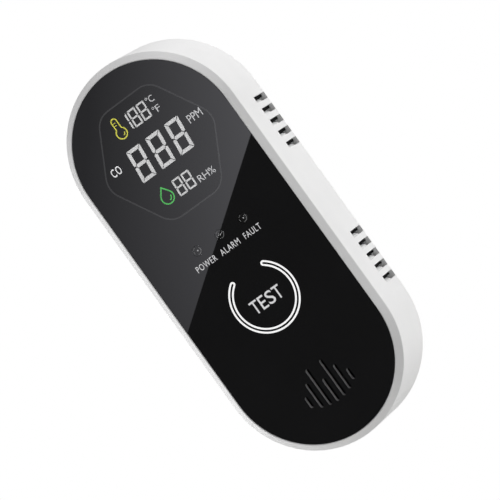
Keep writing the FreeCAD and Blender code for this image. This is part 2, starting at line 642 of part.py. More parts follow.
def battery_door():
    """Door with a finger latch cut into its top and two hooks under the cover at its foot."""
    middle_z = (DOOR_TOP + DOOR_BOTTOM) / 2
    half_z = (DOOR_TOP - DOOR_BOTTOM) / 2
    inner = DOOR_OUTER - DOOR_THICK
    sheet = slab(0, middle_z, DOOR_HALF_WIDTH, half_z, inner, DOOR_OUTER, DOOR_ROUND)
    cuts = []
    for side in (-1, 1):
        cuts.append(slab(side * (LATCH_HALF_WIDTH + LATCH_SLOT / 2), DOOR_TOP - LATCH_LENGTH / 2,
                         LATCH_SLOT / 2, LATCH_LENGTH / 2, inner, DOOR_OUTER))
    for i in range(LATCH_GRIPS):
        z = DOOR_TOP - 1.6 - 1.4 * i
        cuts.append(slab(0, z, LATCH_HALF_WIDTH - 0.8, 0.35, DOOR_OUTER - 0.4, DOOR_OUTER))
    hook_y = Y_COVER - HOOK_DROP - HOOK_THICK
    additions = []
    for x in (-HOOK_X, HOOK_X):
        additions.append(slab(x, DOOR_BOTTOM + 0.6, HOOK_HALF_WIDTH, 0.6, hook_y, inner))
        tongue_half = (HOOK_REACH + 1.2) / 2
        additions.append(slab(x, DOOR_BOTTOM + 1.2 - tongue_half, HOOK_HALF_WIDTH, tongue_half,
                              hook_y, hook_y + HOOK_THICK))
    bead = Part.makeCylinder(0.25, 2 * LATCH_HALF_WIDTH - 2,
                             Vector(-LATCH_HALF_WIDTH + 1, inner + 0.5, DOOR_TOP), Vector(1, 0, 0))
    additions.append(bead)
    save("battery_door", joined(sheet.cut(cuts), additions))


os.makedirs("parts", exist_ok=True)
front_housing()
front_panel()
panel_adhesive()
display()
lamps()
main_board()
test_switch()
sounder()
gas_sensor()
board_parts()
screws()
battery_cells()
battery_holder()
battery_leads()
back_cover()
battery_door()
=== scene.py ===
import json
import math

import bmesh
import bpy
from mathutils import Matrix, Vector


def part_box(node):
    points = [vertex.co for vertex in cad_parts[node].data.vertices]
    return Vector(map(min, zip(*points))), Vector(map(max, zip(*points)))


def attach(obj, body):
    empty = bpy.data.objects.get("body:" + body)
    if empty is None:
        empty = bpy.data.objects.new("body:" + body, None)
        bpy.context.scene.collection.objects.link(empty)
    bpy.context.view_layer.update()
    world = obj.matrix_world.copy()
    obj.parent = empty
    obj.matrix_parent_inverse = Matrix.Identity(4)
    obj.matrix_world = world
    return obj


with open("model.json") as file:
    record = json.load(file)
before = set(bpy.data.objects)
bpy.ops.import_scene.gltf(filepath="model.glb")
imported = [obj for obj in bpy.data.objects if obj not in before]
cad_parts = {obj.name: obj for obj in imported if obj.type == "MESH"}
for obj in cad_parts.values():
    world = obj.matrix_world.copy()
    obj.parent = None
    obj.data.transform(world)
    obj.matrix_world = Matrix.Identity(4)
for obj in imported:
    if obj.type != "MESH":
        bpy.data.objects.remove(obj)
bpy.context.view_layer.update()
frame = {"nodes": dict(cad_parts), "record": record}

# Wall-hung carbon monoxide detector. Lengths are in millimetres until they reach Blender.
MM = 0.001
BODY = "housing"
PANEL_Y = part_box("front_panel")[0].y / MM         # glossy face
GLASS_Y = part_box("lcd_glass")[0].y / MM           # front of the display glass
LAMPS = ("power_lamp", "alarm_lamp", "fault_lamp")
GRILLE_TOP = -36.0                                # just above the grille's tallest slot
PRINT_RELIEF = 0.03                               # thickness of a printed line
INK_TOP = PANEL_Y - PRINT_RELIEF


# ---------------------------------------------------------------- mesh helpers

def finish_piece(name, bm, body, material):
    """Turns a bmesh in millimetres into a named piece that rides on a CAD body."""
    bmesh.ops.recalc_face_normals(bm, faces=bm.faces)
    bmesh.ops.scale(bm, vec=(MM, MM, MM), verts=bm.verts)
    mesh = bpy.data.meshes.new(name)
    bm.to_mesh(mesh)
    bm.free()
    piece = bpy.data.objects.new(name, mesh)
    bpy.context.scene.collection.objects.link(piece)
    mesh.materials.append(material)
    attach(piece, body)


def add_prism(bm, outline, y_front, y_back):
    """Closed plate from a counter-clockwise outline of (x, z) points."""
    front = [bm.verts.new((x, y_front, z)) for x, z in outline]
    back = [bm.verts.new((x, y_back, z)) for x, z in outline]
    count = len(outline)
    bm.faces.new(front)
    bm.faces.new(back[::-1])
    for i in range(count):
        j = (i + 1) % count
        bm.faces.new((front[j], front[i], back[i], back[j]))


def add_line(bm, path, width, y_front, y_back, closed=False):
    """Closed flat strip of even width that follows a path of (x, z) points."""
    points = [Vector(p) for p in path]
    count = len(points)
    rings = []
    for i, point in enumerate(points):
        before = points[(i - 1) % count] if closed or i > 0 else None
        after = points[(i + 1) % count] if closed or i < count - 1 else None
        run_in = (point - before).normalized() if before is not None else None
        run_out = (after - point).normalized() if after is not None else None
        run_in, run_out = run_in or run_out, run_out or run_in
        normal = Vector((-run_in.y - run_out.y, run_in.x + run_out.x)).normalized()
        reach = width / 2 / max(0.3, normal.dot(Vector((-run_out.y, run_out.x))))
        left, right = point + normal * reach, point - normal * reach
        rings.append([bm.verts.new((p.x, y, p.y)) for p, y in
                      ((left, y_front), (right, y_front), (right, y_back), (left, y_back))])
    for i in range(count if closed else count - 1):
        here, there = rings[i], rings[(i + 1) % count]
        for k in range(4):
            bm.faces.new((here[k], here[(k + 1) % 4], there[(k + 1) % 4], there[k]))
    if not closed:
        bm.faces.new(rings[0][::-1])
        bm.faces.new(rings[-1])


def arc(cx, cz, radius, start, end, steps):
    """Points of an arc; angles in degrees from +X towards +Z."""
    turn = [math.radians(start + (end - start) * i / steps) for i in range(steps + 1)]
    return [(cx + radius * math.cos(t), cz + radius * math.sin(t)) for t in turn]


def rounded_outline(corners, radius, steps=8):
    """Closed path round a convex polygon with each corner rounded."""
    path = []
    count = len(corners)
    for i in range(count):
        corner = Vector(corners[i])
        to_last = (Vector(corners[i - 1]) - corner).normalized()
        to_next = (Vector(corners[(i + 1) % count]) - corner).normalized()
        half = to_last.angle(to_next) / 2
        middle = corner + (to_last + to_next).normalized() * radius / math.sin(half)
        reach = radius / math.tan(half)
        first, last = corner + to_last * reach, corner + to_next * reach
        a = math.atan2(first.y - middle.y, first.x - middle.x)
        b = math.atan2(last.y - middle.y, last.x - middle.x)
        sweep = (b - a + math.pi) % (2 * math.pi) - math.pi
        for k in range(steps + 1):
            t = a + sweep * k / steps
            path.append((middle.x + radius * math.cos(t), middle.y + radius * math.sin(t)))
    return path


def add_lathe(bm, cx, cz, profile, steps=40):
    """Solid of revolution about the line along Y through (cx, cz), from (radius, y) points."""
    rings = []
    for radius, y in profile:
        if radius == 0.0:
            rings.append([bm.verts.new((cx, y, cz))])
        else:
            rings.append([bm.verts.new((px, y, pz)) for px, pz in
                          arc(cx, cz, radius, 0, 360, steps)[:-1]])
    for near, far in zip(rings, rings[1:] + rings[:1]):
        if len(near) == len(far) == 1:
            continue
        for i in range(steps):
            j = (i + 1) % steps
            corners = [near[i % len(near)], near[j % len(near)], far[j % len(far)],
                       far[i % len(far)]]
            bm.faces.new(list(dict.fromkeys(corners)))


def add_text(bm, words, low_x, high_x, low_z, high_z, y_front, y_back, bold=0.0, spacing=1.15):
    """Plain sans lettering fitted to a box of the panel, as closed solids."""
    curve = bpy.data.curves.new("lettering", "FONT")
    curve.body = words
    curve.size = 1.0
    curve.offset = bold
    curve.space_character = spacing
    curve.extrude = 0.05
    curve.resolution_u = 4
    holder = bpy.data.objects.new("lettering", curve)
    bpy.context.scene.collection.objects.link(holder)
    graph = bpy.context.evaluated_depsgraph_get()
    mesh = bpy.data.meshes.new_from_object(holder.evaluated_get(graph))
    bpy.data.objects.remove(holder)
    bpy.data.curves.remove(curve)
    text = bmesh.new()
    text.from_mesh(mesh)
    bpy.data.meshes.remove(mesh)
    bmesh.ops.remove_doubles(text, verts=text.verts, dist=1e-5)
    xs = [v.co.x for v in text.verts]
    zs = [v.co.y for v in text.verts]
    x_scale = (high_x - low_x) / (max(xs) - min(xs))
    z_scale = (high_z - low_z) / (max(zs) - min(zs))
    for v in text.verts:
        v.co = Vector((low_x + (v.co.x - min(xs)) * x_scale,
                       y_front if v.co.z > 0 else y_back,
                       low_z + (v.co.y - min(zs)) * z_scale))
    joined = bpy.data.meshes.new("lettering")
    text.to_mesh(joined)
    text.free()
    bm.from_mesh(joined)
    bpy.data.meshes.remove(joined)


# ---------------------------------------------------------------- materials

def blank_material(name):
    """New node material; returns it with its node tree and its Principled shader."""
    material = bpy.data.materials.new(name)
    material.use_nodes = True
    tree = material.node_tree
    return material, tree, tree.nodes["Principled BSDF"]


def add_node(tree, kind, **values):
    """Node with some of its inputs set by name."""
    node = tree.nodes.new(kind)
    for key, value in values.items():
        node.inputs[key].default_value = value
    return node


def place(tree):
    """Object-space position, which moves with the piece."""
    return tree.nodes.new("ShaderNodeTexCoord").outputs["Object"]


def noise(tree, scale, detail=3.0, rough=0.55):
    """Noise of roughly scale bumps to the metre."""
    node = add_node(tree, "ShaderNodeTexNoise", Scale=scale, Detail=detail, Roughness=rough)
    tree.links.new(place(tree), node.inputs["Vector"])
    return node.outputs["Fac"]


def ramp(tree, source, low, high, at=(0.3, 0.7)):
    """Colour ramp between two colours."""
    node = tree.nodes.new("ShaderNodeValToRGB")
    node.color_ramp.elements[0].position, node.color_ramp.elements[1].position = at
    node.color_ramp.elements[0].color = (*low, 1.0)
    node.color_ramp.elements[1].color = (*high, 1.0)
    tree.links.new(source, node.inputs["Fac"])
    return node.outputs["Color"]


def spread(tree, source, low, high):
    """Maps 0..1 to low..high."""
    node = add_node(tree, "ShaderNodeMapRange")
    node.inputs["To Min"].default_value = low
    node.inputs["To Max"].default_value = high
    tree.links.new(source, node.inputs["Value"])
    return node.outputs["Result"]


def maths(tree, operation, *values):
    """Math node fed by sockets or plain numbers."""
    node = tree.nodes.new("ShaderNodeMath")
    node.operation = operation
    for socket, value in zip(node.inputs, values):
        if isinstance(value, float):
            socket.default_value = value
        else:
            tree.links.new(value, socket)
    return node.outputs[0]


def relief(tree, shader, source, strength, depth_mm):
    """Bump of a given depth."""
    node = add_node(tree, "ShaderNodeBump", Strength=strength, Distance=depth_mm * MM)
    tree.links.new(source, node.inputs["Height"])
    tree.links.new(node.outputs["Normal"], shader.inputs["Normal"])


def moulded(name, low, high, rough=(0.38, 0.5), grain=2600.0, depth=0.02, strength=0.25):
    """Moulded plastic: faint flow marks in its colour, fine spark-eroded grain."""
    material, tree, shader = blank_material(name)
    tree.links.new(ramp(tree, noise(tree, 38.0), low, high), shader.inputs["Base Color"])
    tree.links.new(spread(tree, noise(tree, 220.0), *rough), shader.inputs["Roughness"])
    relief(tree, shader, noise(tree, grain, 2.0), strength, depth)
    return material


def white_shell():
    """Satin white moulding."""
    return moulded("white_shell", (0.82, 0.819, 0.819), (0.862, 0.861, 0.861))


PALE_AND_PAINTED_LIGHT_SHARE_ABOVE_KEY = 0.2         # the lamp holes' walls are less pale than the grille's; the paleness is partly painted light


def black_panel():
    """Clear sheet painted black behind: deep gloss on its face; the walls of its holes are paler
    near the grille and a little above the key, partly the sheet's clear edge and partly painted
    light.
    """
    material, tree, shader = blank_material("black_panel")
    face = ramp(tree, noise(tree, 60.0), (0.0032, 0.0032, 0.0036), (0.0046, 0.0046, 0.0052))
    # Pale hole walls: partly the clear sheet's edge, partly painted light, set by height rather
    # than by the light that reaches them.
    cut_edge_and_painted_light = ramp(tree, noise(tree, 900.0), (0.5, 0.5, 0.505), (0.62, 0.62, 0.625))
    coordinates = tree.nodes.new("ShaderNodeTexCoord")
    facing = tree.nodes.new("ShaderNodeSeparateXYZ")
    tree.links.new(coordinates.outputs["Normal"], facing.inputs["Vector"])
    height = tree.nodes.new("ShaderNodeSeparateXYZ")
    tree.links.new(coordinates.outputs["Object"], height.inputs["Vector"])
    sideways = maths(tree, "LESS_THAN", maths(tree, "ABSOLUTE", facing.outputs["Y"]), 0.5)
    near_grille = maths(tree, "LESS_THAN", height.outputs["Z"], GRILLE_TOP * MM)
    above_key = maths(tree, "GREATER_THAN", height.outputs["Z"], 0.0)
    pale_and_painted_light_share = maths(tree, "MULTIPLY_ADD", above_key, PALE_AND_PAINTED_LIGHT_SHARE_ABOVE_KEY, near_grille)
    mix = tree.nodes.new("ShaderNodeMix")
    mix.data_type = "RGBA"
    tree.links.new(maths(tree, "MULTIPLY", sideways, pale_and_painted_light_share), mix.inputs["Factor"])
    tree.links.new(face, mix.inputs["A"])
    tree.links.new(cut_edge_and_painted_light, mix.inputs["B"])
    tree.links.new(mix.outputs["Result"], shader.inputs["Base Color"])
    tree.links.new(spread(tree, noise(tree, 130.0), 0.003, 0.012), shader.inputs["Roughness"])
    relief(tree, shader, noise(tree, 90.0, 1.0), 0.01, 0.001)
    return material


def smoked_window():
    """Smoked clear sheet over the display, as glossy as the panel."""
    material, tree, shader = blank_material("smoked_window")
    tint = ramp(tree, noise(tree, 50.0), (0.01, 0.01, 0.0101), (0.0112, 0.0112, 0.0113))
    tree.links.new(tint, shader.inputs["Base Color"])
    shader.inputs["Roughness"].default_value = 0.0
    shader.inputs["Transmission Weight"].default_value = 1.0
    shader.inputs["IOR"].default_value = 1.49
    return material


def lcd_glass():
    """Unlit display: black, with its shine left to the window in front."""
    material, tree, shader = blank_material("lcd_glass")
    tree.links.new(ramp(tree, noise(tree, 70.0), (0.0004, 0.0004, 0.0004),
                        (0.0009, 0.0009, 0.001)), shader.inputs["Base Color"])
    shader.inputs["Specular IOR Level"].default_value = 0.0
    shader.inputs["Roughness"].default_value = 0.8
    return material


def clear_lamp():
    """Water-white epoxy with a faint cast."""
    material, tree, shader = blank_material("clear_lamp")
    tree.links.new(ramp(tree, noise(tree, 700.0), (0.86, 0.88, 0.88), (0.96, 0.97, 0.97)),
                   shader.inputs["Base Color"])
    tree.links.new(spread(tree, noise(tree, 900.0), 0.02, 0.07), shader.inputs["Roughness"])
    shader.inputs["Transmission Weight"].default_value = 1.0
    shader.inputs["IOR"].default_value = 1.5
    return material


def metal(name, low, high, rough=(0.2, 0.38), grain=900.0, stretch=(1.0, 1.0, 1.0)):
    """Plated or drawn metal with fine grain, which stretch draws out along an axis."""
    material, tree, shader = blank_material(name)
    mapping = add_node(tree, "ShaderNodeMapping", Scale=stretch)
    tree.links.new(place(tree), mapping.inputs["Vector"])
    grainy = add_node(tree, "ShaderNodeTexNoise", Scale=grain, Detail=4.0)
    tree.links.new(mapping.outputs["Vector"], grainy.inputs["Vector"])
    tree.links.new(ramp(tree, grainy.outputs["Fac"], low, high), shader.inputs["Base Color"])
    tree.links.new(spread(tree, noise(tree, 300.0), *rough), shader.inputs["Roughness"])
    shader.inputs["Metallic"].default_value = 1.0
    relief(tree, shader, grainy.outputs["Fac"], 0.2, 0.01)
    return material


def circuit_board():
    """Green solder mask over faint raised tracks."""
    material, tree, shader = blank_material("circuit_board")
    tracks = add_node(tree, "ShaderNodeTexBrick", Scale=210.0)
    tracks.inputs["Mortar Size"].default_value = 0.035
    tracks.inputs["Color1"].default_value = (0.004, 0.085, 0.03, 1.0)
    tracks.inputs["Color2"].default_value = (0.006, 0.11, 0.042, 1.0)
    tracks.inputs["Mortar"].default_value = (0.012, 0.17, 0.07, 1.0)
    swap = tree.nodes.new("ShaderNodeSeparateXYZ")
    join = tree.nodes.new("ShaderNodeCombineXYZ")
    tree.links.new(place(tree), swap.inputs["Vector"])
    tree.links.new(swap.outputs["X"], join.inputs["X"])
    tree.links.new(swap.outputs["Z"], join.inputs["Y"])
    tree.links.new(join.outputs["Vector"], tracks.inputs["Vector"])
    tree.links.new(tracks.outputs["Color"], shader.inputs["Base Color"])
    tree.links.new(spread(tree, noise(tree, 500.0), 0.22, 0.34), shader.inputs["Roughness"])
    relief(tree, shader, tracks.outputs["Fac"], 0.5, 0.04)
    return material


def dust_mesh():
    """Fine woven black mesh."""
    material, tree, shader = blank_material("dust_mesh")
    weave = add_node(tree, "ShaderNodeTexVoronoi", Scale=2400.0)
    tree.links.new(place(tree), weave.inputs["Vector"])
    tree.links.new(ramp(tree, weave.outputs["Distance"], (0.006, 0.006, 0.007),
                        (0.0005, 0.0005, 0.0005)), shader.inputs["Base Color"])
    shader.inputs["Roughness"].default_value = 0.9
    shader.inputs["Specular IOR Level"].default_value = 0.1
    relief(tree, shader, weave.outputs["Distance"], 0.6, 0.05)
    return material


def cell_label():
    """Plain shrink label with a darker band near one end; bare steel beyond the label."""
    material, tree, shader = blank_material("cell_label")
    low, high = (corner.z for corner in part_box("battery_cell_1"))
    label_start, label_end = 0.035, 0.945          # shares of the cell's length
    split = tree.nodes.new("ShaderNodeSeparateXYZ")
    tree.links.new(place(tree), split.inputs["Vector"])
    along = add_node(tree, "ShaderNodeMapRange")
    along.inputs["From Min"].default_value = low
    along.inputs["From Max"].default_value = high
    tree.links.new(split.outputs["Z"], along.inputs["Value"])
    bands = tree.nodes.new("ShaderNodeValToRGB")
    bands.color_ramp.interpolation = "CONSTANT"
    stops = bands.color_ramp.elements
    stops[0].position, stops[0].color = 0.0, (0.62, 0.62, 0.63, 1.0)
    stops[1].position, stops[1].color = label_start, (0.05, 0.11, 0.2, 1.0)
    for position, colour in ((0.70, (0.5, 0.51, 0.52, 1.0)), (0.73, (0.018, 0.02, 0.024, 1.0)),
                             (label_end, (0.62, 0.62, 0.63, 1.0))):
        stops.new(position).color = colour
    tree.links.new(along.outputs["Result"], bands.inputs["Fac"])
    tree.links.new(bands.outputs["Color"], shader.inputs["Base Color"])
    steel_ends = tree.nodes.new("ShaderNodeValToRGB")
    steel_ends.color_ramp.interpolation = "CONSTANT"
    ends = steel_ends.color_ramp.elements
    ends[0].position, ends[0].color = 0.0, (0.9, 0.9, 0.9, 1.0)
    ends[1].position, ends[1].color = label_start, (0.0, 0.0, 0.0, 1.0)
    ends.new(label_end).color = (0.9, 0.9, 0.9, 1.0)
    tree.links.new(along.outputs["Result"], steel_ends.inputs["Fac"])
    tree.links.new(steel_ends.outputs["Color"], shader.inputs["Metallic"])
    tree.links.new(spread(tree, noise(tree, 400.0), 0.24, 0.36), shader.inputs["Roughness"])
    relief(tree, shader, noise(tree, 700.0, 2.0), 0.15, 0.01)
    return material


def ceramic_disc():
    """Fired ceramic with a silvered face."""
    material, tree, shader = blank_material("ceramic_disc")
    tree.links.new(ramp(tree, noise(tree, 500.0), (0.55, 0.54, 0.5), (0.7, 0.69, 0.65)),
                   shader.inputs["Base Color"])
    tree.links.new(spread(tree, noise(tree, 900.0), 0.35, 0.55), shader.inputs["Roughness"])
    shader.inputs["Metallic"].default_value = 0.6
    relief(tree, shader, noise(tree, 3000.0), 0.3, 0.01)
    return material


def elastomer():
    """Conductive rubber strip: dark bands across pink rubber."""
    material, tree, shader = blank_material("elastomer")
    bands = tree.nodes.new("ShaderNodeTexWave")
    bands.inputs["Scale"].default_value = 900.0
    bands.inputs["Distortion"].default_value = 0.4
    tree.links.new(place(tree), bands.inputs["Vector"])
    tree.links.new(ramp(tree, bands.outputs["Fac"], (0.02, 0.02, 0.02), (0.5, 0.28, 0.3)),
                   shader.inputs["Base Color"])
    tree.links.new(spread(tree, noise(tree, 900.0), 0.6, 0.8), shader.inputs["Roughness"])
    return material


def backlit_or_painted_glow(name, low, high, glow):
    """Display segment lit by its backlight, or a printed line or lamp part whose glow is painted
    light.
    """
    material, tree, shader = blank_material(name)
    colour = ramp(tree, noise(tree, 420.0), low, high)
    tree.links.new(colour, shader.inputs["Base Color"])
    tree.links.new(colour, shader.inputs["Emission Color"])
    shader.inputs["Emission Strength"].default_value = glow
    tree.links.new(spread(tree, noise(tree, 800.0), 0.45, 0.6), shader.inputs["Roughness"])
    return material


def make_slot_materials():
    """One finish for each of the record's material slots."""
    return {
        "white_shell": white_shell(),
        "black_panel": black_panel(),
        "smoked_window": smoked_window(),
        "adhesive": moulded("adhesive", (0.008, 0.008, 0.008), (0.016, 0.016, 0.016),
                            (0.7, 0.9), 3000.0, 0.03, 0.5),
        "lcd_glass": lcd_glass(),
        "white_plastic": moulded("white_plastic", (0.66, 0.66, 0.63), (0.74, 0.74, 0.72)),
        "elastomer": elastomer(),
        "clear_lamp": clear_lamp(),
        "black_plastic": moulded("black_plastic", (0.008, 0.008, 0.009), (0.018, 0.018, 0.02),
                                 (0.45, 0.62), 3200.0, 0.03, 0.4),
        "circuit_board": circuit_board(),
        "tinned_wire": metal("tinned_wire", (0.6, 0.6, 0.6), (0.78, 0.78, 0.78)),
        "steel": metal("steel", (0.48, 0.49, 0.5), (0.66, 0.67, 0.69), (0.25, 0.42), 1400.0),
        "spring_steel": metal("spring_steel", (0.55, 0.54, 0.52), (0.75, 0.74, 0.72),
                              (0.15, 0.3), 1100.0, (1.0, 1.0, 6.0)),
        "brass_disc": metal("brass_disc", (0.6, 0.4, 0.13), (0.78, 0.56, 0.22),
                            (0.2, 0.36), 800.0, (8.0, 1.0, 1.0)),
        "ceramic_disc": ceramic_disc(),
        "dust_mesh": dust_mesh(),
        "foam": moulded("foam", (0.015, 0.015, 0.016), (0.05, 0.05, 0.052),
                        (0.85, 0.95), 1800.0, 0.15, 0.8),
        "cell_label": cell_label(),
        "sensor_can": metal("sensor_can", (0.62, 0.62, 0.63), (0.8, 0.8, 0.81),
                            (0.22, 0.4), 1000.0, (1.0, 6.0, 1.0)),
        "red_lead": moulded("red_lead", (0.42, 0.012, 0.012), (0.55, 0.02, 0.02),
                            (0.35, 0.5), 1500.0, 0.01, 0.2),
        "black_lead": moulded("black_lead", (0.012, 0.012, 0.012), (0.022, 0.022, 0.022),
                              (0.35, 0.5), 1500.0, 0.01, 0.2),
    }


def dress_cad_nodes(finishes):
    """Gives every CAD node the finish of its slot."""
    for part in frame["record"]["subparts"]:
        node = frame["nodes"][part["node"]]
        for index in range(len(node.data.materials)):
            node.data.materials[index] = finishes[part["material_slot"]]


# ---------------------------------------------------------------- display

DISPLAY_FRONT = GLASS_Y - 0.04     # front of the segments
SEEN_SHIFT = -0.37                 # the display sits a little left of the window's middle
BIG_SEGMENT = {"stroke": 1.04, "slant": 6.0, "gap": 0.14}
SMALL_SEGMENT = {"stroke": 0.5, "slant": 3.0, "gap": 0.08}
MIDDLE_TAPER = 0.25                # share of the stroke that a side segment loses at the middle
SEGMENTS_LIT = {"1": "bc", "8": "abcdefg"}


def digit_segments(width, height, stroke, gap):
    """Outlines of the seven segments in a box with its centre at (0, 0), mitred at the corners."""
    right, top, half = width / 2, height / 2, stroke / 2
    inner_x, inner_z = right - stroke, top - stroke
    upper = [(-right + gap, top), (right - gap, top), (inner_x - gap, inner_z),
             (-inner_x + gap, inner_z)]
    upper_right = [(right, top - gap), (inner_x, inner_z - gap), (inner_x, half + gap),
                   (right - half, gap), (right, MIDDLE_TAPER * stroke + gap)]
    centre = [(-right + half + gap, 0), (-inner_x + gap, half), (inner_x - gap, half),
              (right - half - gap, 0), (inner_x - gap, -half), (-inner_x + gap, -half)]
    return {"a": upper, "d": [(x, -z) for x, z in upper], "g": centre,
            "b": upper_right, "c": [(x, -z) for x, z in upper_right],
            "f": [(-x, z) for x, z in upper_right], "e": [(-x, -z) for x, z in upper_right]}


def add_digit(bm, digit, x, z, width, height, stroke, slant, gap):
    """Seven-segment digit whose lower left corner is (x, z), leaning right by slant degrees."""
    lean = math.tan(math.radians(slant))
    segments = digit_segments(width, height, stroke, gap)
    for key in SEGMENTS_LIT[digit]:
        outline = [(x + width / 2 + u + lean * v, z + height / 2 + v) for u, v in segments[key]]
        add_prism(bm, outline, DISPLAY_FRONT, GLASS_Y)


def display_piece(name, build, material):
    """One group of display segments, standing just proud of the display glass."""
    bm = bmesh.new()
    build(bm)
    finish_piece(name, bm, BODY, material)


def big_number(bm):
    """The three large digits."""
    for x in (-8.92, -1.92, 4.98):
        add_digit(bm, "8", x + SEEN_SHIFT, 30.35, 4.85, 9.85, **BIG_SEGMENT)


def small_numbers(bm):
    """Temperature digits above the large number and humidity digits below it."""
    for digit, x in (("1", -4.62), ("8", -1.4), ("8", 1.85)):
        add_digit(bm, digit, x + SEEN_SHIFT, 44.15, 2.7, 5.2, **SMALL_SEGMENT)
    for x in (-2.6, 0.7):
        add_digit(bm, "8", x + SEEN_SHIFT, 21.2, 2.75, 5.15, **SMALL_SEGMENT)


def units(bm):
    """Units beside the numbers."""
    for words, x0, x1, z0, z1 in (("PPM", 12.2, 16.85, 36.05, 38.45),
                                  ("C", 6.25, 7.75, 47.3, 49.25),
                                  ("F", 6.4, 7.75, 44.1, 46.0),
                                  ("RH%", 4.45, 10.2, 21.15, 23.2)):
        add_text(bm, words, x0 + SEEN_SHIFT, x1 + SEEN_SHIFT, z0, z1,
                 DISPLAY_FRONT, GLASS_Y, spacing=0.97)
    for x, z in ((5.67, 48.95), (5.75, 45.75)):
        degree_sign = arc(x + SEEN_SHIFT, z, 0.3, 0, 342, 19)
        add_line(bm, degree_sign, 0.16, DISPLAY_FRONT, GLASS_Y, closed=True)


def gas_name(bm):
    """Chemical formula at the left of the large number."""
    add_text(bm, "CO", -15.65 + SEEN_SHIFT, -12.4 + SEEN_SHIFT, 36.3, 38.8,
             DISPLAY_FRONT, GLASS_Y, bold=0.01)


def thermometer(bm):
    """Outline of a thermometer, with two graduations and a curved stroke in its bulb."""
    x, bulb_z, bulb_r, stem_r, top = -5.95 + SEEN_SHIFT, 45.35, 1.65, 0.87, 49.15
    meet = math.degrees(math.asin(stem_r / bulb_r))
    outline = arc(x, bulb_z, bulb_r, 90 + meet, 450 - meet, 32)
    outline += arc(x, top, stem_r, 0, 180, 12)
    add_line(bm, outline, 0.33, DISPLAY_FRONT, GLASS_Y, closed=True)
    for z in (48.75, 47.95):
        add_line(bm, [(x - 0.6, z), (x + 0.15, z)], 0.19, DISPLAY_FRONT, GLASS_Y)
    add_line(bm, arc(x, bulb_z, 0.85, -75, -5, 10), 0.27, DISPLAY_FRONT, GLASS_Y)


def water_drop(bm):
    """Outline of a water drop with a curved stroke inside."""
    x, z, radius, tip = -6.02 + SEEN_SHIFT, 23.3, 1.95, 26.5
    touch = math.degrees(math.acos(radius / (tip - z)))
    outline = arc(x, z, radius, 90 + touch, 450 - touch, 36) + [(x, tip)]
    add_line(bm, outline, 0.36, DISPLAY_FRONT, GLASS_Y, closed=True)
    add_line(bm, arc(x, z, 1.1, -80, 5, 10), 0.32, DISPLAY_FRONT, GLASS_Y)


def build_window_border():
    """Thin grey line printed over the joint round the display window."""
    low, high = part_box("display_window")
    middle_z, half_height = (low.z + high.z) / 2 / MM, (high.z - low.z) / 2 / MM
    side, flat = 19.4, 9.1             # half widths at the middle and along the flat ends
    corner_radius, line, rise = 6.0, 0.42, 0.015
    corners = [(flat, middle_z - half_height), (side, middle_z), (flat, middle_z + half_height),
               (-flat, middle_z + half_height), (-side, middle_z), (-flat, middle_z - half_height)]
    bm = bmesh.new()
    add_line(bm, rounded_outline(corners, corner_radius), line, PANEL_Y - rise, PANEL_Y,
             closed=True)
    grey = moulded("border_ink", (0.05, 0.05, 0.052), (0.07, 0.07, 0.072), (0.04, 0.08),
                   500.0, 0.001, 0.05)
    finish_piece("window_border", bm, BODY, grey)


def build_display():
    """Everything that shows behind the smoked window."""
    pale = backlit_or_painted_glow("display_white", (0.66, 0.66, 0.655), (0.71, 0.71, 0.705), 78.0)
    bright = backlit_or_painted_glow("display_bright", (0.8, 0.8, 0.8), (0.88, 0.88, 0.88), 84.0)
    dim = backlit_or_painted_glow("display_grey", (0.5, 0.5, 0.5), (0.56, 0.56, 0.57), 90.0)
    yellow = backlit_or_painted_glow("display_yellow", (0.62, 0.6, 0.05), (0.72, 0.7, 0.08), 86.0)
    green = backlit_or_painted_glow("display_green", (0.05, 0.42, 0.07), (0.08, 0.5, 0.1), 98.0)
    display_piece("display_big_number", big_number, pale)
    display_piece("display_small_numbers", small_numbers, pale)
    display_piece("display_units", units, dim)
    display_piece("display_gas", gas_name, bright)
    display_piece("display_thermometer", thermometer, yellow)
    display_piece("display_water_drop", water_drop, green)


# ---------------------------------------------------------------- printing

KEY_RADIUS = 9.455
KEY_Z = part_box("test_button")[0].z / MM + KEY_RADIUS   # centre of the test key
BRIDGE = 35.0                                          # slot ends, in degrees from straight up


def build_legends():
    """Lamp names and the word on the key."""
    # The legends give off a little light: painted light that brightens the print.
    print_with_painted_glow = backlit_or_painted_glow("legend_print_painted_glow", (0.6, 0.6, 0.61), (0.68, 0.68, 0.69), 0.5)
    low_z, high_z = 0.87, 2.72
    bm = bmesh.new()
    for words, x0, x1 in (("POWER", -11.7, -4.65), ("ALARM", -2.95, 3.7), ("FAULT", 5.55, 11.35)):
        add_text(bm, words, x0, x1, low_z, high_z, INK_TOP, PANEL_Y)
    finish_piece("lamp_legends", bm, BODY, print_with_painted_glow)
    low_z, high_z = -18.1, -14.16
    bm = bmesh.new()
    for letter, x0, x1 in (("T", -5.16, -2.66), ("E", -2.3, -0.27), ("S", 0.18, 2.57),
                           ("T", 2.84, 5.25)):
        add_text(bm, letter, x0, x1, low_z, high_z, INK_TOP, PANEL_Y, bold=0.006)
    finish_piece("key_legend", bm, "test_key", print_with_painted_glow)


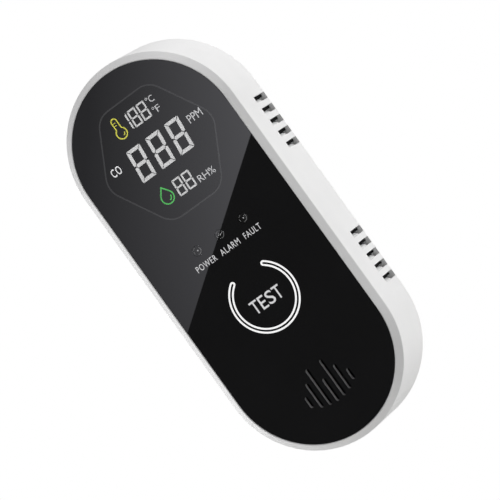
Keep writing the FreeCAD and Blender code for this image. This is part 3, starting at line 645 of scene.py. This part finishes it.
def build_key_ring():
    """White lines along both sides of the key's slot, joined round the slot's ends."""
    # The white lines give off a little light: painted light that brightens the print.
    print_with_painted_glow = backlit_or_painted_glow("ring_print_painted_glow", (0.8, 0.8, 0.8), (0.86, 0.86, 0.86), 0.7)
    inner_r, outer_r, line = 9.12, 10.2, 0.52
    start, end = 90 + BRIDGE, 450 - BRIDGE
    trim = 0.3                         # degrees that the key's line stops short of the caps
    bm = bmesh.new()
    add_line(bm, arc(0, KEY_Z, inner_r, start + trim, end - trim, 96), line, INK_TOP, PANEL_Y)
    finish_piece("ring_on_key", bm, "test_key", print_with_painted_glow)
    bm = bmesh.new()
    middle_r, cap_r = (inner_r + outer_r) / 2, (outer_r - inner_r) / 2
    path = arc(0, KEY_Z, outer_r, start, end, 96)
    for angle, way in ((end, 1), (start, -1)):
        a = math.radians(angle)
        cx, cz = middle_r * math.cos(a), KEY_Z + middle_r * math.sin(a)
        cap = arc(cx, cz, cap_r, angle, angle + way * 180, 10)
        path = path + cap[1:] if way == 1 else cap[::-1][:-1] + path
    add_line(bm, path, line, INK_TOP, PANEL_Y)
    finish_piece("ring_on_panel", bm, BODY, print_with_painted_glow)


# ---------------------------------------------------------------- lamps and vents

COVER_FRONT_Y = PANEL_Y + 0.01
COVER_BACK_Y = PANEL_Y + 0.4          # back of the smoked cover in each lamp hole
# The arcs behind each cover are painted highlights.
RIM_FRONT_Y = COVER_BACK_Y + 0.04     # clear of the cover, because touching faces speckle
RIM_BACK_Y = COVER_BACK_Y + 0.12
RIM_RADIUS = 1.1


def build_lamps():
    """Reflector bowl, centre spot, arcs round it and smoked cover of each lamp; the bowl's faint
    glow, the bright spot and the arcs are painted light, standing for the highlights on a clear
    lamp.
    """
    # Painted light: the bowl glows faintly, the spot is a painted highlight at the lamp's centre
    # and the arcs are painted crescent highlights; nothing here is lit.
    cup_painted_glow = backlit_or_painted_glow("lamp_cup_painted_glow", (0.26, 0.26, 0.26), (0.36, 0.36, 0.37), 1.1)
    painted_glint = backlit_or_painted_glow("lamp_painted_glint", (0.7, 0.7, 0.7), (0.85, 0.85, 0.85), 42.0)
    painted_rim_highlight = backlit_or_painted_glow("lamp_painted_rim_highlight", (0.28, 0.28, 0.28), (0.34, 0.34, 0.34), 36.0)
    for lamp in LAMPS:
        low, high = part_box(lamp)
        x, z = (low.x + high.x) / 2 / MM, (low.z + high.z) / 2 / MM
        tip = low.y / MM
        bm = bmesh.new()
        add_lathe(bm, x, z, [(0.0, tip + 1.05), (0.75, tip + 1.0), (1.2, tip + 0.72),
                             (1.26, tip + 0.76), (0.8, tip + 1.12), (0.0, tip + 1.17)])
        finish_piece(lamp + "_cup_painted_glow", bm, BODY, cup_painted_glow)
        bm = bmesh.new()
        add_lathe(bm, x, z, [(0.0, tip - 0.2), (0.12, tip - 0.18), (0.2, tip - 0.1),
                             (0.2, tip + 0.12), (0.0, tip + 0.14)])
        finish_piece(lamp + "_painted_glint_spot", bm, BODY, painted_glint)
        bm = bmesh.new()
        for start, end, width in ((-105, 35, 0.2), (100, 140, 0.16), (165, 205, 0.16)):
            add_line(bm, arc(x, z, RIM_RADIUS, start, end, 16), width, RIM_FRONT_Y, RIM_BACK_Y)
        finish_piece(lamp + "_painted_rim_highlight", bm, BODY, painted_rim_highlight)
        bm = bmesh.new()
        add_lathe(bm, x, z, [(0.0, COVER_FRONT_Y), (1.5, COVER_FRONT_Y),
                             (1.53, COVER_FRONT_Y + 0.03), (1.53, COVER_BACK_Y - 0.04),
                             (1.49, COVER_BACK_Y), (0.0, COVER_BACK_Y)])
        finish_piece(lamp + "_cover", bm, BODY, finishes["smoked_window"])


VENT_GROUPS = (-23.2, 23.2)                        # heights of the groups' middles
VENT_COUNT, VENT_PITCH, VENT_HEIGHT = 5, 3.87, 2.1
VENT_FRONT_Y, VENT_BACK_Y, VENT_INSIDE_X = -11.45, -1.1, 25.6
SILL_OUTSIDE_X, SILL_RISE, SILL_BACK_Y = 26.5, 1.05, -3.5
# Painted shade: a black hood fills the upper part of each vent.
SHADE_HOOD_OUTSIDE_X, SHADE_HOOD_LOW = 26.25, 0.15
CLEARANCE = 0.02                                   # between a vent's edge and its pieces


def vent_centres():
    """Middle height of each vent."""
    middle = (VENT_COUNT - 1) / 2
    return [group + (i - middle) * VENT_PITCH for group in VENT_GROUPS for i in range(VENT_COUNT)]


def build_vent_sills():
    """Sloping sill in every vent, which stops short of the vent's back end."""
    bm = bmesh.new()
    for side in (-1, 1):
        for centre in vent_centres():
            low = centre - VENT_HEIGHT / 2 + CLEARANCE
            outline = [(SILL_OUTSIDE_X * side, low), (VENT_INSIDE_X * side, low + SILL_RISE),
                       (VENT_INSIDE_X * side, low)]
            add_prism(bm, outline[::side], VENT_FRONT_Y, SILL_BACK_Y)
    finish_piece("vent_sills", bm, BODY, finishes["white_shell"])


def build_vent_painted_shade():
    """Black hood in the upper part of every vent: painted shade where the vent's upper edge throws
    its shadow.
    """
    bm = bmesh.new()
    for side in (-1, 1):
        near, far = sorted((side * SHADE_HOOD_OUTSIDE_X, side * VENT_INSIDE_X))
        for centre in vent_centres():
            low, top = centre + SHADE_HOOD_LOW, centre + VENT_HEIGHT / 2 - CLEARANCE
            corners = [(near, low), (far, low), (far, top), (near, top)]
            add_prism(bm, rounded_outline(corners, 0.08, 3), VENT_FRONT_Y, VENT_BACK_Y)
    finish_piece("vent_painted_shade", bm, BODY, finishes["dust_mesh"])


def build_vent_screens():
    """Fine black screen just inside the wall, behind each group of vents."""
    reach = VENT_COUNT * VENT_PITCH / 2 + 0.6
    front, back = VENT_FRONT_Y - 1.05, VENT_BACK_Y - 0.55
    bm = bmesh.new()
    for side in (-1, 1):
        near, far = sorted((side * (VENT_INSIDE_X - 0.4), side * (VENT_INSIDE_X - 0.75)))
        for group in VENT_GROUPS:
            corners = [(near, group - reach), (far, group - reach), (far, group + reach),
                       (near, group + reach)]
            add_prism(bm, rounded_outline(corners, 0.12, 4), front, back)
    finish_piece("vent_screens", bm, BODY, finishes["dust_mesh"])


# ---------------------------------------------------------------- stage

CAMERA_AZIMUTH = math.radians(18.74)
CAMERA_ROLL = math.radians(35.73)
CAMERA_DISTANCE = 1.1018           # metres
CAMERA_LENS = 284.4                # focal length, on a 36 mm sensor
FLOOR_Z = -0.4                     # metres
AIM = Vector((4.69, -25.3, -2.2)) * MM


def add_camera():
    """Camera to the object's right, level with it, rolled so that the object leans over."""
    toward = Vector((-math.sin(CAMERA_AZIMUTH), math.cos(CAMERA_AZIMUTH), 0.0))
    level = Vector((math.cos(CAMERA_AZIMUTH), math.sin(CAMERA_AZIMUTH), 0.0))
    right = level * math.cos(CAMERA_ROLL) - Vector((0, 0, 1)) * math.sin(CAMERA_ROLL)
    up = level * math.sin(CAMERA_ROLL) + Vector((0, 0, 1)) * math.cos(CAMERA_ROLL)
    data = bpy.data.cameras.new("camera")
    data.lens = CAMERA_LENS
    data.clip_start, data.clip_end = 0.01, 20.0
    camera = bpy.data.objects.new("camera", data)
    turn = Matrix((right, up, -toward)).transposed().to_4x4()
    camera.matrix_world = Matrix.Translation(AIM - toward * CAMERA_DISTANCE) @ turn
    bpy.context.scene.collection.objects.link(camera)
    bpy.context.scene.camera = camera


def add_softbox(name, direction, distance, size, power):
    """Square area light aimed at the object."""
    data = bpy.data.lights.new(name, "AREA")
    data.shape = "SQUARE"
    data.size = size
    data.energy = power
    light = bpy.data.objects.new(name, data)
    aim = Vector(direction).normalized()
    light.location = aim * distance
    light.rotation_mode = "QUATERNION"
    light.rotation_quaternion = aim.to_track_quat("Z", "Y")
    light.visible_camera = False
    bpy.context.scene.collection.objects.link(light)


def add_world():
    """White backdrop for the camera; for everything else pale walls and one dark one ahead."""
    world = bpy.data.worlds.new("studio")
    bpy.context.scene.world = world
    world.use_nodes = True
    tree = world.node_tree
    tree.nodes.clear()
    output = tree.nodes.new("ShaderNodeOutputWorld")
    seen = add_node(tree, "ShaderNodeBackground", Color=(1.0, 1.0, 1.0, 1.0), Strength=1.0)
    walls = add_node(tree, "ShaderNodeBackground", Color=(1.0, 0.995, 1.0, 1.0))
    direction = tree.nodes.new("ShaderNodeSeparateXYZ")
    tree.links.new(tree.nodes.new("ShaderNodeTexCoord").outputs["Generated"],
                   direction.inputs["Vector"])
    level = add_node(tree, "ShaderNodeMapRange")
    for key, value in (("From Min", -0.93), ("From Max", -0.65), ("To Min", 0.13),
                       ("To Max", 0.3)):
        level.inputs[key].default_value = value
    tree.links.new(direction.outputs["Y"], level.inputs["Value"])
    tree.links.new(level.outputs["Result"], walls.inputs["Strength"])
    path = tree.nodes.new("ShaderNodeLightPath")
    mix = tree.nodes.new("ShaderNodeMixShader")
    tree.links.new(path.outputs["Is Camera Ray"], mix.inputs[0])
    tree.links.new(walls.outputs[0], mix.inputs[1])
    tree.links.new(seen.outputs[0], mix.inputs[2])
    tree.links.new(mix.outputs[0], output.inputs["Surface"])


# Brightness of the card: its value at the corner, how it changes per metre along the edge,
# away from the edge and with both together, then its floor and ceiling.
CARD_CORNER, CARD_ALONG, CARD_AWAY, CARD_BOTH = 1.387, 9.4, 13.6, 84.7
CARD_DIMMEST, CARD_BRIGHTEST = 0.5, 2.2


def add_reflected_card():
    """Bright card ahead and to the left, whose edge the glossy panel mirrors."""
    along = Vector((1.0, 0.0, 0.7)).normalized()
    away = Vector((-along.z, 0.0, along.x))
    corner = Vector((-206.3, -625.0, 11.4)) * MM
    mesh = bpy.data.meshes.new("reflected_card")
    spans = ((-0.22, 0.0), (0.16, 0.0), (0.16, 0.24), (-0.22, 0.24))
    mesh.from_pydata([(u, v, 0.0) for u, v in spans], [], [(0, 1, 2, 3)])
    card = bpy.data.objects.new("reflected_card", mesh)
    card.matrix_world = Matrix.Translation(corner) @ Matrix(
        (along, away, along.cross(away))).transposed().to_4x4()
    bpy.context.scene.collection.objects.link(card)
    card.visible_camera = False
    card.visible_shadow = False
    material = bpy.data.materials.new("reflected_card")
    material.use_nodes = True
    tree = material.node_tree
    tree.nodes.clear()
    split = tree.nodes.new("ShaderNodeSeparateXYZ")
    tree.links.new(place(tree), split.inputs["Vector"])
    u, v = split.outputs["X"], split.outputs["Y"]
    level = maths(tree, "MULTIPLY_ADD", u, CARD_ALONG, CARD_CORNER)
    level = maths(tree, "SUBTRACT", level, maths(tree, "MULTIPLY", v, CARD_AWAY))
    both = maths(tree, "MULTIPLY", u, v)
    level = maths(tree, "SUBTRACT", level, maths(tree, "MULTIPLY", both, CARD_BOTH))
    level = maths(tree, "MAXIMUM", level, CARD_DIMMEST)
    level = maths(tree, "MINIMUM", level, CARD_BRIGHTEST)
    glow = add_node(tree, "ShaderNodeEmission", Color=(0.97, 0.97, 1.04, 1.0))
    tree.links.new(level, glow.inputs["Strength"])
    output = tree.nodes.new("ShaderNodeOutputMaterial")
    tree.links.new(glow.outputs[0], output.inputs["Surface"])
    mesh.materials.append(material)


def add_floor():
    """Pale floor well below the object."""
    bm = bmesh.new()
    bmesh.ops.create_circle(bm, cap_ends=True, radius=2.5, segments=96)
    mesh = bpy.data.meshes.new("studio_floor")
    bm.to_mesh(mesh)
    bm.free()
    floor = bpy.data.objects.new("studio_floor", mesh)
    floor.location.z = FLOOR_Z
    bpy.context.scene.collection.objects.link(floor)
    mesh.materials.append(moulded("floor_paper", (0.8, 0.8, 0.79), (0.84, 0.84, 0.83),
                                  (0.8, 0.95), 60.0, 0.2, 0.1))


def light_stage():
    """Soft lights round the object: direction, distance, size and power."""
    add_softbox("left_light", (-0.989, 0.05, -0.142), 1.3, 0.6, 8.0)
    add_softbox("high_right_light", (0.55, 0.24, 0.8), 1.3, 0.6, 7.8)
    add_softbox("low_back_light", (0.49, 0.642, -0.589), 0.6, 0.3, 0.55)
    add_softbox("right_light", (0.85, 0.45, 0.28), 1.3, 0.2, 6.2)
    add_softbox("high_front_light", (-0.25, -0.5, 0.83), 1.3, 0.6, 3.1)


finishes = make_slot_materials()
dress_cad_nodes(finishes)
build_display()
build_legends()
build_key_ring()
build_window_border()
build_lamps()
build_vent_sills()
build_vent_painted_shade()
build_vent_screens()
add_camera()
add_world()
add_reflected_card()
add_floor()
light_stage()
bpy.context.scene.view_settings.view_transform = "Standard"
